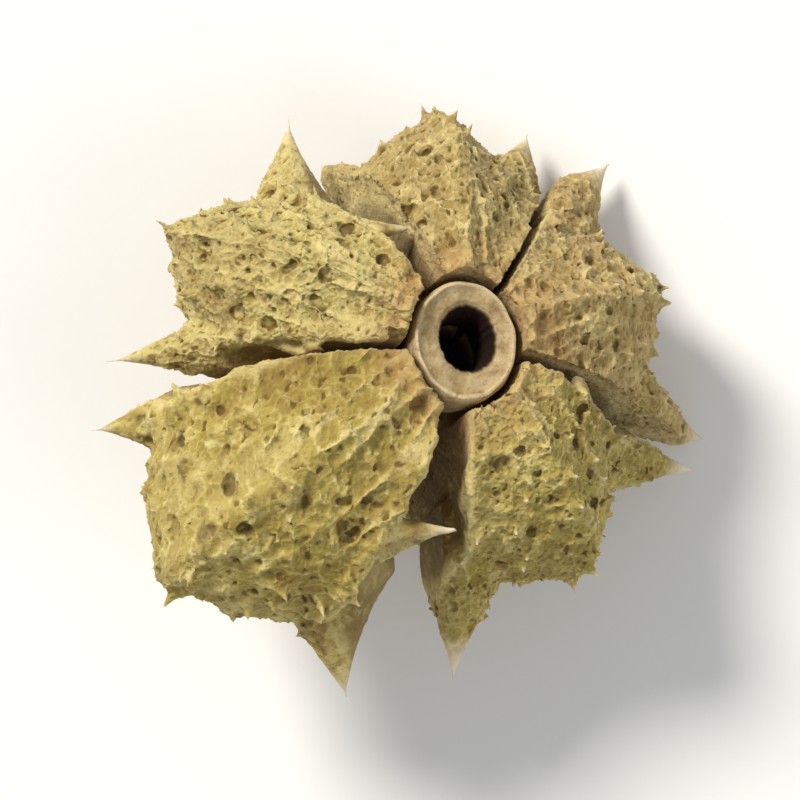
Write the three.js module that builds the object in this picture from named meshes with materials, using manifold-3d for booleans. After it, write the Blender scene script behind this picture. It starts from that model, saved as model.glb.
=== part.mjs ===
// A dried puncturevine fruit: a bur of five woody wedges round the collar of its fallen stalk. It
// lies as it comes to rest, stalk side up, leaning on its apex and on the tips of two long spines.
// Millimetres, +Z up, origin under the middle of the bur on the surface that it rests on.
import * as THREE from "three";
import { ConvexHull } from "three/addons/math/ConvexHull.js";
import { mergeVertices } from "three/addons/utils/BufferGeometryUtils.js";
import Module from "manifold-3d";

const wasm = await Module();
wasm.setup();

// One wedge in its own frame: x runs out from the fruit's axis, y across, z from apex to stalk.
const HEART = new THREE.Vector3(2.9, 0, 3.1); // the point that the skin is drawn round
const BACK = { x: 1.6, z: 3.2, deep: 4.1, wide: 2.75, tall: 2.85 }; // half axes of the back
const ROOF = 1.65; // 2 makes the back round across, less makes it a roof with a crest
const FLANK = { slope: 0.72, hollow: 0.052, gap: 0.05 }; // half width over x, x squared and at x 0
const APEX_SLOPE = THREE.MathUtils.degToRad(29); // the underside rises outwards from the apex
const INNER = 0.2; // the wedge's distance from the fruit's axis
const ROUNDING = 0.24; // how softly back, flanks and underside meet
const FARTHEST = 6; // no skin lies further from the heart
const HALVINGS = 26; // steps of each search for the skin

// The skin's relief: rough on the back, nearly smooth where two wedges face each other.
const ROUGH = { from: -0.35, to: 0.25, least: 0.25 };
const CREST = { height: 0.2, width: 0.34 };
const EDGE_RIB = { height: 0.24, width: 0.3, from: 0.8, to: 1.8 };
const NET = { ridge: 0.06, pit: 0.11, onBack: 0.5, onFlank: 0.95, darts: 5000 };

// Short prickles in rows over the back. Across is a share of the way from the crest to an edge.
const ROWS = [
  { across: 0, count: 9, height: 0.36 },
  { across: 0.48, count: 8, height: 0.26 },
  { across: -0.48, count: 8, height: 0.26 },
  { across: 0.93, count: 8, height: 0.32 },
  { across: -0.93, count: 8, height: 0.32 },
];
const ROW_SPAN = { from: 74, to: -38, full: 5 }; // degrees up from level; shorter below full
const PRICKLE = { radius: 0.2, root: 0.26, sides: 5, shortest: 0.55 };
const PRICKLE_STRAY = { around: 5, across: 0.1, tilt: 0.25, height: 0.3, radius: 0.2 };

// The wedges, anticlockwise seen from the stalk side. Turns are degrees. The seam is the turn of the
// plane that parts a wedge from the next one. A long spine is given by its tip: turn from the
// wedge's middle, reach from the fruit's axis, height above the apex; and by how stout it is.
const WEDGES = [
  {
    turn: 20, seam: 55.5, deep: 0.83, wide: 1.0, seed: 11,
    right: { turn: -27, reach: 6.15, height: 1.6, stout: 0.8 },
    left: { turn: 28, reach: 6.05, height: 2.7, stout: 0.9 },
  },
  {
    turn: 87, seam: 111.5, deep: 0.86, wide: 0.82, seed: 23,
    right: { turn: -22.5, reach: 5.65, height: 2.5, stout: 1 },
    left: { turn: 18.5, reach: 4.9, height: 0.78, stout: 0.7 },
  },
  {
    turn: 153, seam: 184.5, deep: 0.97, wide: 0.8, seed: 37,
    right: { turn: -36, reach: 5.6, height: 3.15, stout: 0.75 },
    left: { turn: 25, reach: 6.15, height: 2.4, stout: 0.6 },
  },
  {
    turn: 218, seam: 270, deep: 1.17, wide: 1.2, seed: 51,
    right: { turn: -27.5, reach: 6.65, height: 2.7, stout: 1 },
    left: { turn: 38.5, reach: 6.45, height: 2.4, stout: 1 },
  },
  {
    turn: 307, seam: 349, deep: 0.83, wide: 0.92, seed: 67,
    right: { turn: -31, reach: 5.9, height: 2.2, stout: 0.7 },
    left: { turn: 38, reach: 5.95, height: 2.3, stout: 0.6 },
  },
];
const ROOM = 0.05; // a wedge stops this short of its seams

// A spine's radius grows from its tip as a power of the distance, up to its most.
const LONG_SPINE = { growth: 0.38, taper: 1.4, most: 1.1, sides: 10, steps: 9 };
const LONG_ROOT = { around: -4, sunk: 0.85, level: 3.0 };
const LONG_BEND = { share: 0.2, rise: 0.3 };
const STALK_SPINE = { growth: 0.26, taper: 0.9, most: 0.32, sides: 6, steps: 4 };
const STALK_PLACE = { around: 88, stray: 8, sunk: 0.35, shortest: 0.45, vary: 0.35 };
const STALK_LEAN = { x: -1.0, y: 0.1 };
const BEAK = { growth: 0.26, taper: 0.8, most: 0.4, sides: 6, steps: 3 };
const BEAK_LINE = [new THREE.Vector3(1.3, 0, 1.4), new THREE.Vector3(0.26, 0, 0.1)];

// The receptacle: a small oval collar with a hole where the stalk has dropped out.
const COLLAR = { long: 1.19, short: 1.03, low: 4.55, high: 6.02, sides: 28 };
const COLLAR_PROFILE = [
  // share of the outer radius, share of the height
  [0.9, 0], [0.98, 0.45], [1, 0.8], [0.96, 0.94], [0.86, 1],
  [0.76, 0.97], [0.71, 0.84], [0.62, 0.76], [0.55, 0.6], [0.53, 0],
];
const SEAT = { low: 4.3, gap: 0.1 }; // the room that the wedges leave round it

// The lean to look for among the sides that the fruit can rest on, and the depth of the wear that
// leaves a small flat on each low point.
const LEAN = { towards: 42, about: 19 };
const FLAT_DEPTH = 0.07;

const COLOURS = { wedge: 0xb9a767, receptacle: 0xb09a68 };

const { sin, cos, abs, hypot, min, max, sqrt, exp, PI } = Math;
const radians = THREE.MathUtils.degToRad;

// A repeatable run of numbers from 0 to 1.
function numbersFrom(seed) {
  let state = seed >>> 0;
  return () => {
    state = (Math.imul(state, 1664525) + 1013904223) >>> 0;
    return state / 2 ** 32;
  };
}

function smoothMax(a, b) {
  return (a + b + hypot(a - b, ROUNDING)) / 2;
}

function step(from, to, value) {
  const share = min(1, max(0, (value - from) / (to - from)));
  return share * share * (3 - 2 * share);
}

// The place between two numbers where a test stops being true.
function search(from, to, test) {
  let [near, far] = [from, to];
  for (let i = 0; i < HALVINGS; i++) {
    const middle = (near + far) / 2;
    if (test(middle)) near = middle;
    else far = middle;
  }
  return near;
}

// The wedge's bounding surfaces at a point, each negative inside.
function bounds({ x, y, z }) {
  const across = (abs((x - BACK.x) / BACK.deep) ** ROOF + abs(y / BACK.wide) ** ROOF) ** (1 / ROOF);
  const round = hypot(across, (z - BACK.z) / BACK.tall);
  const under = x * sin(APEX_SLOPE) - z * cos(APEX_SLOPE);
  return {
    back: smoothMax((round - 1) * BACK.wide, under),
    flank: abs(y) - FLANK.slope * x + FLANK.hollow * x * x + FLANK.gap,
    inner: INNER - hypot(x, y),
  };
}

function outside(point) {
  const { back, flank, inner } = bounds(point);
  return smoothMax(smoothMax(back, flank), inner) - ROUNDING / 4;
}

// Where the smooth skin lies in a direction from the heart.
function skinAt(direction) {
  const at = (distance) => HEART.clone().addScaledVector(direction, distance);
  return at(search(0, FARTHEST, (distance) => outside(at(distance)) < 0));
}

// How far a skin point is on the rough back rather than on a flank.
function roughness(point) {
  const { back, flank, inner } = bounds(point);
  return step(ROUGH.from, ROUGH.to, back - max(flank, inner));
}

// The crest along the back and the ribs along its two edges.
function ribs(point) {
  const { back, flank } = bounds(point);
  const crest = CREST.height * exp(-((point.y / CREST.width) ** 2)) * roughness(point);
  const edge = EDGE_RIB.height * exp(-(((back - flank) / EDGE_RIB.width) ** 2));
  return crest + edge * step(EDGE_RIB.from, EDGE_RIB.to, point.x);
}

// A skin point with its ribs, raised by a share of the net.
function raised(direction, net) {
  const point = skinAt(direction);
  const lift = ribs(point) + net * (ROUGH.least + (1 - ROUGH.least) * roughness(point));
  return point.addScaledVector(direction, lift);
}

// Pits, thrown as darts that keep apart: close on the back and wide on the flanks.
function pitDirections(random) {
  const pits = [];
  for (let i = 0; i < NET.darts; i++) {
    const height = 2 * random() - 1;
    const turn = 2 * PI * random();
    const ring = sqrt(1 - height * height);
    const direction = new THREE.Vector3(ring * cos(turn), ring * sin(turn), height);
    const point = skinAt(direction);
    const apart = NET.onFlank + (NET.onBack - NET.onFlank) * roughness(point);
    if (pits.every((pit) => pit.point.distanceTo(point) > apart)) pits.push({ direction, point });
  }
  return pits.map((pit) => pit.direction);
}

// The skin as a net: each pit lies among ridges that run halfway between it and its neighbours.
// Each half edge between two pits gives one face, from its pit to the ridge's two ends.
function wedgeSkin(random) {
  const hull = new ConvexHull().setFromPoints(pitDirections(random));
  const ridges = new Map();
  const pits = new Map();
  for (const face of hull.faces) {
    ridges.set(face, raised(face.normal.clone().normalize(), NET.ridge));
  }
  for (const { point } of hull.vertices) pits.set(point, raised(point, -NET.pit));
  const corners = [];
  for (const face of hull.faces) {
    let edge = face.edge;
    do {
      corners.push(pits.get(edge.tail().point), ridges.get(edge.twin.face), ridges.get(face));
      edge = edge.next;
    } while (edge !== face.edge);
  }
  return new THREE.BufferGeometry().setFromPoints(corners);
}

// A tapering spine along a bent line, closed at its root and drawn to a point.
function spineGeometry(from, by, to, { growth, taper, most, sides, steps }, stout = 1) {
  const line = new THREE.QuadraticBezierCurve3(from, by, to);
  const rings = [];
  for (let i = 0; i < steps; i++) {
    const middle = line.getPoint(i / steps);
    const ahead = line.getTangent(i / steps);
    const side = new THREE.Vector3(0, 0, 1).cross(ahead).normalize();
    const up = ahead.clone().cross(side);
    const radius = min(most, stout * growth * middle.distanceTo(to) ** taper);
    rings.push(Array.from({ length: sides }, (_, k) => {
      const turn = (2 * PI * k) / sides;
      return middle.clone()
        .addScaledVector(side, radius * cos(turn))
        .addScaledVector(up, radius * sin(turn));
    }));
  }
  const corners = [];
  for (let k = 0; k < sides; k++) {
    const next = (k + 1) % sides;
    corners.push(from, rings[0][next], rings[0][k]);
    for (let i = 0; i + 1 < steps; i++) {
      const [a, b] = [rings[i][k], rings[i][next]];
      const [c, d] = [rings[i + 1][k], rings[i + 1][next]];
      corners.push(a, b, d, a, d, c);
    }
    corners.push(rings[steps - 1][k], rings[steps - 1][next], to);
  }
  return new THREE.BufferGeometry().setFromPoints(corners);
}

// A closed geometry as a solid that can be joined and cut.
function solidOf(geometry) {
  const bare = geometry.index ? geometry.toNonIndexed() : geometry.clone();
  bare.deleteAttribute("normal");
  bare.deleteAttribute("uv");
  const merged = mergeVertices(bare, 1e-5);
  return new wasm.Manifold(new wasm.Mesh({
    numProp: 3,
    vertProperties: merged.attributes.position.array,
    triVerts: new Uint32Array(merged.index.array),
  }));
}

// Directions from the heart: around is the angle up from level, across the angle to one side.
function directionOf(around, across) {
  return new THREE.Vector3(
    cos(across) * cos(around), sin(across), cos(across) * sin(around));
}

// The angle across at which the back meets its flank.
function edgeAcross(around) {
  return search(0, PI / 2, (across) => {
    const { back, flank } = bounds(skinAt(directionOf(around, across)));
    return back > flank;
  });
}

// The skin's outward direction at a point, from how fast it leaves the wedge along each axis.
function outwardAt(point) {
  const reach = ROUNDING / 5;
  const slopes = ["x", "y", "z"].map((axis) => {
    const [ahead, behind] = [point.clone(), point.clone()];
    ahead[axis] += reach;
    behind[axis] -= reach;
    return outside(ahead) - outside(behind);
  });
  return new THREE.Vector3(...slopes).normalize();
}

// One prickle of a row, at a share of the row's length, a little out of line.
function prickle(row, share, random) {
  const stray = () => 2 * random() - 1;
  const level = ROW_SPAN.from + (ROW_SPAN.to - ROW_SPAN.from) * share + PRICKLE_STRAY.around * stray();
  const around = radians(level);
  const across = edgeAcross(around) * (row.across + PRICKLE_STRAY.across * stray());
  const point = raised(directionOf(around, across), 0);
  const tilt = new THREE.Vector3(stray(), stray(), stray());
  const outward = outwardAt(point).addScaledVector(tilt, PRICKLE_STRAY.tilt).normalize();
  const grown = PRICKLE.shortest
    + (1 - PRICKLE.shortest) * step(ROW_SPAN.to, ROW_SPAN.full, level);
  const height = row.height * grown * (1 + PRICKLE_STRAY.height * stray());
  const cone = new THREE.ConeGeometry(
    PRICKLE.radius * (1 + PRICKLE_STRAY.radius * stray()), PRICKLE.root + height, PRICKLE.sides);
  cone.applyQuaternion(
    new THREE.Quaternion().setFromUnitVectors(new THREE.Vector3(0, 1, 0), outward));
  const middle = point.clone().addScaledVector(outward, (height - PRICKLE.root) / 2);
  cone.translate(middle.x, middle.y, middle.z);
  return solidOf(cone);
}

function prickles(random) {
  return ROWS.flatMap((row) =>
    Array.from({ length: row.count }, (_, i) => prickle(row, (i + 0.5) / row.count, random)));
}

// A long spine from one edge of the back, out to its tip. Side is 1 for left and -1 for right.
function longSpine(wedge, side, tip) {
  const turn = radians(tip.turn);
  const to = new THREE.Vector3(
    (tip.reach * cos(turn)) / wedge.deep, (tip.reach * sin(turn)) / wedge.wide, tip.height);
  const around = radians(LONG_ROOT.around);
  const shoulder = skinAt(directionOf(around, side * edgeAcross(around)));
  const from = new THREE.Vector3(
    shoulder.x - LONG_ROOT.sunk, shoulder.y - side * LONG_ROOT.sunk, LONG_ROOT.level);
  const by = shoulder.clone().lerp(to, LONG_BEND.share);
  by.z += LONG_BEND.rise;
  return solidOf(spineGeometry(from, by, to, LONG_SPINE, tip.stout));
}

// One of the two short spines beside the stalk.
function stalkSpine(side, random) {
  const around = radians(STALK_PLACE.around + STALK_PLACE.stray * random());
  const shoulder = skinAt(directionOf(around, side * edgeAcross(around)));
  const outward = outwardAt(shoulder);
  const from = shoulder.clone().addScaledVector(outward, -STALK_PLACE.sunk);
  const length = STALK_PLACE.shortest + STALK_PLACE.vary * random();
  const to = shoulder.clone().addScaledVector(outward, length);
  to.add(new THREE.Vector3(STALK_LEAN.x, side * STALK_LEAN.y, 0));
  return solidOf(spineGeometry(from, shoulder, to, STALK_SPINE));
}

// The point at the apex end, which with the other four makes the fruit's tip.
function beak() {
  const [from, to] = BEAK_LINE;
  return solidOf(spineGeometry(from, from.clone().lerp(to, 0.5), to, BEAK));
}

// The oval room round the receptacle, with a little more above it.
function seat() {
  const tall = 2 * (COLLAR.high - SEAT.low);
  const room = new THREE.CylinderGeometry(1, 1, tall, COLLAR.sides);
  room.rotateX(PI / 2);
  room.scale(COLLAR.short + SEAT.gap, COLLAR.long + SEAT.gap, 1);
  room.translate(0, 0, SEAT.low + tall / 2);
  return solidOf(room);
}

// Keeps a wedge between its seams.
function kept(solid, index) {
  const { turn, seam } = WEDGES[index];
  const before = WEDGES[(index + WEDGES.length - 1) % WEDGES.length].seam;
  const [right, left] = [turn - before, seam - turn].map(
    (angle) => radians(THREE.MathUtils.euclideanModulo(angle, 360)));
  return solid
    .trimByPlane([sin(left), -cos(left), 0], ROOM)
    .trimByPlane([sin(right), cos(right), 0], ROOM);
}

function wedgeSolid(wedge, index) {
  const random = numbersFrom(wedge.seed);
  const whole = wasm.Manifold.union([
    solidOf(wedgeSkin(random)),
    ...prickles(random),
    stalkSpine(1, random),
    stalkSpine(-1, random),
    beak(),
    longSpine(wedge, 1, wedge.left),
    longSpine(wedge, -1, wedge.right),
  ]).scale([wedge.deep, wedge.wide, 1]);
  const shells = kept(whole, index).subtract(seat().rotate([0, 0, -wedge.turn])).decompose();
  return shells.sort((a, b) => b.volume() - a.volume())[0]; // without crumbs and shut-in gaps
}

function receptacleSolid() {
  const profile = COLLAR_PROFILE.map(([out, up]) =>
    new THREE.Vector2(out, COLLAR.low + (COLLAR.high - COLLAR.low) * up));
  const collar = new THREE.LatheGeometry([...profile, profile[0].clone()], COLLAR.sides);
  collar.rotateX(PI / 2);
  collar.scale(COLLAR.short, COLLAR.long, 1);
  return solidOf(collar);
}

function pointsOf(solid) {
  const mesh = solid.getMesh();
  return Array.from({ length: mesh.numVert }, (_, i) =>
    new THREE.Vector3().fromArray(mesh.vertProperties, i * mesh.numProp));
}

// The centre of gravity of some solids, from the cones that their faces make with the origin.
function centreOf(solids) {
  const centre = new THREE.Vector3();
  let volume = 0;
  for (const solid of solids) {
    const points = pointsOf(solid);
    const corners = solid.getMesh().triVerts;
    for (let i = 0; i < corners.length; i += 3) {
      const [a, b, c] = [0, 1, 2].map((k) => points[corners[i + k]]);
      const share = a.dot(b.clone().cross(c));
      volume += share;
      centre.addScaledVector(a.clone().add(b).add(c), share / 4);
    }
  }
  return centre.divideScalar(volume);
}

// Whether a point lies over a face of a hull.
function over(face, point) {
  let edge = face.edge;
  do {
    const along = edge.head().point.clone().sub(edge.tail().point);
    const to = point.clone().sub(edge.tail().point);
    if (along.cross(to).dot(face.normal) < 0) return false;
    edge = edge.next;
  } while (edge !== face.edge);
  return true;
}

// The side to rest on: three low points round the fruit's weight, nearest to the wanted lean.
function restingSide(solids) {
  const hull = new ConvexHull().setFromPoints(solids.flatMap(pointsOf));
  const centre = centreOf(solids);
  const [lean, towards] = [radians(LEAN.about), radians(LEAN.towards)];
  const down = new THREE.Vector3(sin(lean) * cos(towards), sin(lean) * sin(towards), -cos(lean));
  const sides = hull.faces.filter((face) => over(face, centre));
  return sides.sort((a, b) => b.normal.dot(down) - a.normal.dot(down))[0];
}

function meshOf(name, solid, colour) {
  const made = solid.getMesh();
  const geometry = new THREE.BufferGeometry();
  const positions = new THREE.Float32BufferAttribute(made.vertProperties, made.numProp);
  geometry.setAttribute("position", positions);
  geometry.setIndex(new THREE.BufferAttribute(made.triVerts, 1));
  const material = new THREE.MeshStandardMaterial({
    color: colour, roughness: 0.85, metalness: 0, flatShading: true });
  const mesh = new THREE.Mesh(geometry, material);
  mesh.name = name;
  return mesh;
}

const wedges = WEDGES.map(wedgeSolid);
const receptacle = receptacleSolid();
const standing = WEDGES.map((wedge, i) => wedges[i].rotate([0, 0, wedge.turn]));
const side = restingSide([...standing, receptacle]);
const down = side.normal.clone().normalize();
const ground = -down.dot(side.edge.head().point);

const fruit = new THREE.Group();
WEDGES.forEach((wedge, i) => {
  const turn = radians(wedge.turn);
  const up = down.clone().negate().applyAxisAngle(new THREE.Vector3(0, 0, 1), -turn);
  const worn = wedges[i].trimByPlane(up.toArray(), ground + FLAT_DEPTH);
  const mesh = meshOf(`mericarp_${i + 1}`, worn, COLOURS.wedge);
  mesh.rotation.z = turn;
  fruit.add(mesh);
});
fruit.add(meshOf("receptacle", receptacle, COLOURS.receptacle));
fruit.quaternion.setFromUnitVectors(down, new THREE.Vector3(0, 0, -1));
fruit.updateMatrixWorld(true);
const box = new THREE.Box3().setFromObject(fruit, true);
fruit.position.set(-(box.min.x + box.max.x) / 2, -(box.min.y + box.max.y) / 2, -box.min.z);

export default fruit;
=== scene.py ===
import math

import bmesh
import bpy
import numpy as np
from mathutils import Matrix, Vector


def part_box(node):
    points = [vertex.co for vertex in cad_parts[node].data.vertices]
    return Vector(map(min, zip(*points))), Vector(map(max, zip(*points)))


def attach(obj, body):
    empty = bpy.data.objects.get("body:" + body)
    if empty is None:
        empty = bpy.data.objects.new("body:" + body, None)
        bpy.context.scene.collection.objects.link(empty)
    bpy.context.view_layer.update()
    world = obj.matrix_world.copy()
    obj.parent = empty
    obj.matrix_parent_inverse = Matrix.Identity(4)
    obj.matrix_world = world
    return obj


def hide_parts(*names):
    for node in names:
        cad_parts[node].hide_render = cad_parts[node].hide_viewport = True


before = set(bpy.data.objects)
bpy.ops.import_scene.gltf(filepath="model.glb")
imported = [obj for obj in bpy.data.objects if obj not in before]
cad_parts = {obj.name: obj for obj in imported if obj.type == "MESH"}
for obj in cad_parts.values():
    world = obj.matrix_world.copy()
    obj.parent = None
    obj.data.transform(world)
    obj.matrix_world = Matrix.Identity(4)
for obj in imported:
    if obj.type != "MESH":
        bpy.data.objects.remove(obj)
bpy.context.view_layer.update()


# The five mericarps: the woody wedges that a dried puncturevine fruit falls apart into. Each grew as
# one piece, with a netted, ribbed back set with prickles, two long spines from the edges of its
# back, two short ones beside the stalk, and two smooth flanks that face its neighbours.

# Sizes are millimetres in a wedge's own frame: x out from the fruit's axis, y across, z from the
# apex to the stalk. They are the same as the frame's.
HEART = np.array([2.9, 0.0, 3.1])
BACK_MIDDLE = np.array([1.6, 0.0, 3.2])
BACK_DEEP, BACK_WIDE, BACK_TALL = 4.1, 2.75, 2.85
ROOF = 1.65
FLANK_SLOPE, FLANK_HOLLOW, FLANK_GAP = 0.72, 0.052, 0.05
APEX_SLOPE = math.radians(29)
INNER = 0.2
ROUNDING = 0.24
FARTHEST = 6.0
HALVINGS = 26

ROUGH_FROM, ROUGH_TO, ROUGH_LEAST = -0.35, 0.25, 0.25
CREST_HEIGHT, CREST_WIDTH = 0.2, 0.3
EDGE_RIB_HEIGHT, EDGE_RIB_WIDTH, EDGE_RIB_FROM, EDGE_RIB_TO = 0.27, 0.22, 0.8, 1.8
NET_RIDGE, NET_PIT, NET_ON_BACK, NET_ON_FLANK, NET_DARTS = 0.045, 0.14, 0.5, 0.95, 5000
NET_RIDGE_SHARE, NET_RIDGE_VARY, NET_RIDGE_PATCH = 0.6, 0.5, 1.1
NET_LEVEL, NET_WARP, NET_WARP_SIZE = 0.045, 0.11, 0.42
PIT_EDGE, PIT_EDGE_VARY, PIT_WALL, PIT_OPEN, PIT_SHUT = 0.42, 0.42, 0.24, 0.55, 0.85
FAN_HEIGHT, FAN_SIZE, FAN_STRETCH, FAN_PATCH = 0.08, 0.85, (0.28, 1.2, 0.4), 2.0
FAN_THIN, FAN_FULL = 3.6, 1.6
KNOB_HEIGHT, KNOB_PATCH = 0.11, 0.8
CREASE_HEIGHTS, CREASE_SIZES, CREASE_WIDTH = (0.05, 0.03), (0.55, 0.26), 0.32
LIP_HEIGHT, LIP_WIDTH, LIP_PLACE, LIP_RISE = 0.14, 0.09, 1.1, 0.6
LIP_VARY, LIP_PATCH = 0.4, 0.6
PRICK_DEPTH, PRICK_SIZE = 0.03, 0.2
GRIT_HEIGHT, GRIT_SIZE, FINE_LEAST = 0.006, 0.1, 0.35
RIM_WIDTH, WEB_RIM, WEB_RIM_FROM, WEB_RIM_FULL = 0.13, 0.8, 0.3, 0.12
RIPPLE_WAVES, RIPPLE_SPREAD, RIPPLE_GAIN = 28, (0.6, 1.5), 4

ROWS = ((0.0, 9, 0.36), (0.48, 8, 0.26), (-0.48, 8, 0.26), (0.93, 8, 0.32), (-0.93, 8, 0.32))
ROW_FROM, ROW_TO, ROW_FULL = 74.0, -38.0, 5.0
PRICKLE_RADIUS, PRICKLE_SHORTEST, PRICKLE_SUNK, PRICKLE_BEND = 0.2, 0.55, 0.5, 0.22
PRICKLE_FOOT, PRICKLE_FLARE, PRICKLE_SHAFT, PRICKLE_STEPS, PRICKLE_SIDES = 0.95, 0.3, 0.16, 16, 12
STRAY_AROUND, STRAY_ACROSS, STRAY_TILT, STRAY_HEIGHT, STRAY_RADIUS = 5.0, 0.1, 0.25, 0.3, 0.2

# Each wedge: its turn round the fruit, the turn of the seam to its left, depth, breadth, seed, and
# its right and left long spines: turn of the tip from the wedge's middle, reach from the axis,
# height, and how stout. Degrees and millimetres.
WEDGES = (
    (20, 55.5, 0.83, 1.0, 11, (-27, 6.15, 1.6, 0.8), (28, 6.05, 2.7, 0.9)),
    (87, 111.5, 0.86, 0.82, 23, (-22.5, 5.65, 2.5, 1.0), (18.5, 4.9, 0.78, 0.7)),
    (153, 184.5, 0.97, 0.8, 37, (-36, 5.6, 3.15, 0.75), (25, 6.15, 2.4, 0.6)),
    (218, 270, 1.17, 1.2, 51, (-27.5, 6.65, 2.7, 1.0), (38.5, 6.45, 2.4, 1.0)),
    (307, 349, 0.83, 0.92, 67, (-31, 5.9, 2.2, 0.7), (38, 5.95, 2.3, 0.6)),
)
ROOM = 0.05
LONG_GROWTH, LONG_TAPER, LONG_MOST = 0.38, 1.4, 1.1
LONG_AROUND, LONG_SUNK, LONG_LEVEL = math.radians(-4), 0.85, 3.0
LONG_BEND, LONG_RISE, LONG_HORN = 0.2, 0.3, 1.9
STALK_GROWTH, STALK_TAPER, STALK_MOST = 0.21, 0.95, 0.3
STALK_AROUND, STALK_STRAY, STALK_SUNK, STALK_SHORTEST, STALK_VARY = 88, 8, 0.35, 0.45, 0.35
STALK_LEAN = (-1.0, 0.1)
WEB_FOOT, WEB_GROWTH, WEB_TAPER, WEB_MOST, WEB_REACH = math.radians(52), 0.15, 0.6, 0.15, 0.75
BEAK_ROOT, BEAK_TIP = (1.3, 0.0, 1.4), (0.26, 0.0, 0.1)
BEAK_GROWTH, BEAK_TAPER, BEAK_MOST = 0.26, 0.8, 0.4

# The oval room that the wedges leave for the receptacle.
COLLAR_SHORT, COLLAR_LONG, COLLAR_LOW, COLLAR_HIGH = 1.03, 1.19, 4.55, 6.02
SEAT_LOW, SEAT_GAP, SEAT_SLOPE = 4.3, 0.1, 0.1
FLAT_DEPTH = 0.07

# The plain collar whose box in the frame shows where the fruit lies: its sides, and how far out and
# how high its outer edges are, as shares of the sizes above.
PLAIN_SIDES = 28
PLAIN_EDGES = ((0.9, 0.0), (1.0, 0.8), (0.86, 1.0))

# More pits on the long spines: how far clear of the wedge, how far from the tip, and how far apart.
SPINE_PIT_CLEAR, SPINE_PIT_END, SPINE_PIT_APART = 0.1, 0.7, 0.42

# How wide round a prickle, a short spine and a long spine its mark reaches, and how that tapers.
PRICKLE_MARK, SHORT_MARK, LONG_MARK = 0.2, 0.3, 0.6
MARK_TAPER, MARK_LEAST, MARK_MOST = 1.25, 0.35, 1.2

# Where along the spines the relief dies away, and how much of the fine relief goes.
LONG_CALM, TIP_CALM, TIP_CALM_SHARE = (0.15, 0.6), (0.1, 0.6), 0.85

# How strongly the marks that paint shade and highlight on the skin follow the relief, and the regions
# where the shade down in the hole is painted near-black and where the skin is tanned by the stalk.
FINE_SHADE, PRICK_SHADE, LIP_SHADE, RELIEF_RANGE = 1.4, 0.7, 0.8, (-0.06, 0.16)
HOLE_SHADE_ACROSS, HOLE_SHADE_UP, TAN_ACROSS = (0.8, 0.5), (3.4, 4.1), (2.5, 1.3)

# Fineness of the modelled skin in millimetres, for a wedge of ordinary size, and the thinnest that a
# spine's point may be.
FINENESS = 0.0395
POINT_RADIUS = 0.046
SKIN_DIVISIONS = 6
BARE_SOFTENING, SET_SOFTENING = 8, 1
POINTS_AT_ONCE = 8000


def numbers_from(seed):
    """The repeatable run of numbers from 0 to 1 that places pits, prickles and short spines."""
    state = seed
    while True:
        state = (state * 1664525 + 1013904223) % 2**32
        yield state / 2**32


def smooth_max(a, b):
    return (a + b + np.hypot(a - b, ROUNDING)) / 2


def smooth_step(low, high, value):
    share = np.clip((value - low) / (high - low), 0, 1)
    return share * share * (3 - 2 * share)


def wedge_bounds(points):
    """The surfaces that bound a wedge, each negative inside: its back, flanks and inner edge."""
    x, y, z = points.T
    deep = np.abs((x - BACK_MIDDLE[0]) / BACK_DEEP) ** ROOF
    wide = np.abs(y / BACK_WIDE) ** ROOF
    round_back = np.hypot((deep + wide) ** (1 / ROOF), (z - BACK_MIDDLE[2]) / BACK_TALL)
    under = x * math.sin(APEX_SLOPE) - z * math.cos(APEX_SLOPE)
    back = smooth_max((round_back - 1) * BACK_WIDE, under)
    flank = np.abs(y) - FLANK_SLOPE * x + FLANK_HOLLOW * x * x + FLANK_GAP
    return back, flank, INNER - np.hypot(x, y)


def outside(points):
    back, flank, inner = wedge_bounds(points)
    return smooth_max(smooth_max(back, flank), inner) - ROUNDING / 4


def search(low, high, test):
    """The place between two arrays of numbers where a test stops being true."""
    for _ in range(HALVINGS):
        middle = (low + high) / 2
        passed = test(middle)
        low = np.where(passed, middle, low)
        high = np.where(passed, high, middle)
    return low


def skin_at(directions):
    """Where the smooth skin lies in directions from the heart."""
    def within(distance):
        return outside(HEART + directions * distance[:, None]) < 0
    none = np.zeros(len(directions))
    return HEART + directions * search(none, none + FARTHEST, within)[:, None]


def roughness(points):
    back, flank, inner = wedge_bounds(points)
    return smooth_step(ROUGH_FROM, ROUGH_TO, back - np.maximum(flank, inner))


def ribs(points):
    back, flank, _ = wedge_bounds(points)
    crest = CREST_HEIGHT * np.exp(-((points[:, 1] / CREST_WIDTH) ** 2)) * roughness(points)
    edge = EDGE_RIB_HEIGHT * np.exp(-(((back - flank) / EDGE_RIB_WIDTH) ** 2))
    return crest + edge * smooth_step(EDGE_RIB_FROM, EDGE_RIB_TO, points[:, 0])


def rim_of(points, webs):
    """1 along the thin rims where the back meets the flanks, and where webs carry them on."""
    back, flank, _ = wedge_bounds(points)
    edge = np.exp(-(((back - flank) / RIM_WIDTH) ** 2))
    edge = edge * smooth_step(EDGE_RIB_FROM, EDGE_RIB_TO, points[:, 0])
    for _, _, (line, _) in webs:
        apart = np.min([np.linalg.norm(points - place, axis=1) for place in line], axis=0)
        edge = np.maximum(edge, WEB_RIM * smooth_step(WEB_RIM_FROM, WEB_RIM_FULL, apart))
    return edge


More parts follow.
